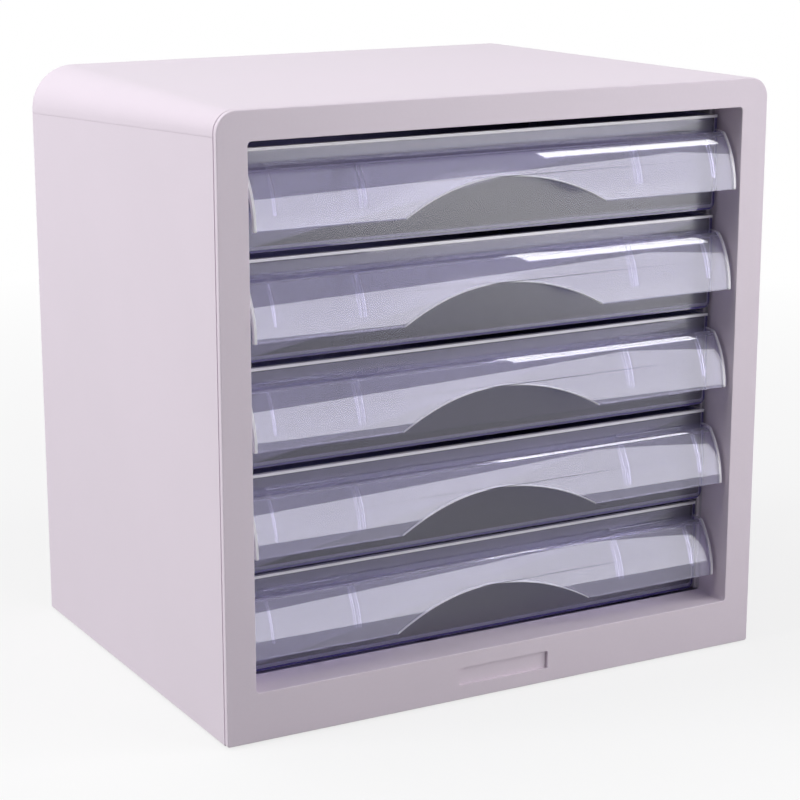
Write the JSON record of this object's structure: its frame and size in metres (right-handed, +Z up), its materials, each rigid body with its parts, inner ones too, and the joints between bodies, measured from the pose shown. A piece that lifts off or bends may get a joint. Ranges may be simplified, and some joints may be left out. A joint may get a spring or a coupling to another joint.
{
  "type": "desktop drawer unit",
  "caption": "Desktop drawer unit: a pale moulded case with a deep front frame, holding clear sliding trays with curved clear hood pulls.",
  "frame": {"origin": "middle of the footprint, on the plane that the rubber feet stand on", "axes": "+X to the right seen from the front, +Y to the back, +Z up; the drawers open along -Y"},
  "size_m": [0.345, 0.265, 0.34],
  "materials": {
    "case_plastic": "satin moulded plastic, fine texture",
    "inner_plastic": "satin moulded plastic",
    "clear_tray": "clear, faintly tinted, glossy",
    "clear_pull": "clear, faintly tinted, glossy",
    "foot_rubber": "matt",
    "screw_steel": "zinc plated"
  },
  "bodies": {
    "case": {"front_frame": "case_plastic", "top_cover": "case_plastic", "left_side_panel": "case_plastic", "right_side_panel": "case_plastic", "base_panel": "case_plastic", "back_panel": "case_plastic", "left_runner_rack": "inner_plastic", "right_runner_rack": "inner_plastic", "rubber_feet": "foot_rubber", "base_screws": "screw_steel"},
    "drawer_1": {"drawer_tray_1": "clear_tray", "drawer_pull_1": "clear_pull"},
    "drawer_2": {"drawer_tray_2": "clear_tray", "drawer_pull_2": "clear_pull"},
    "drawer_3": {"drawer_tray_3": "clear_tray", "drawer_pull_3": "clear_pull"},
    "drawer_4": {"drawer_tray_4": "clear_tray", "drawer_pull_4": "clear_pull"},
    "drawer_5": {"drawer_tray_5": "clear_tray", "drawer_pull_5": "clear_pull"}
  },
  "joints": [
    {"name": "drawer_1_slide", "type": "slide", "parent": "case", "child": "drawer_1", "axis": [0, -1, 0], "range_m": [-0.0089, 0.1761]},
    {"name": "drawer_2_slide", "type": "slide", "parent": "case", "child": "drawer_2", "axis": [0, -1, 0], "range_m": [-0.0074, 0.1776]},
    {"name": "drawer_3_slide", "type": "slide", "parent": "case", "child": "drawer_3", "axis": [0, -1, 0], "range_m": [-0.0059, 0.1791]},
    {"name": "drawer_4_slide", "type": "slide", "parent": "case", "child": "drawer_4", "axis": [0, -1, 0], "range_m": [-0.0054, 0.1796]},
    {"name": "drawer_5_slide", "type": "slide", "parent": "case", "child": "drawer_5", "axis": [0, -1, 0], "range_m": [0, 0.185]}
  ]
}
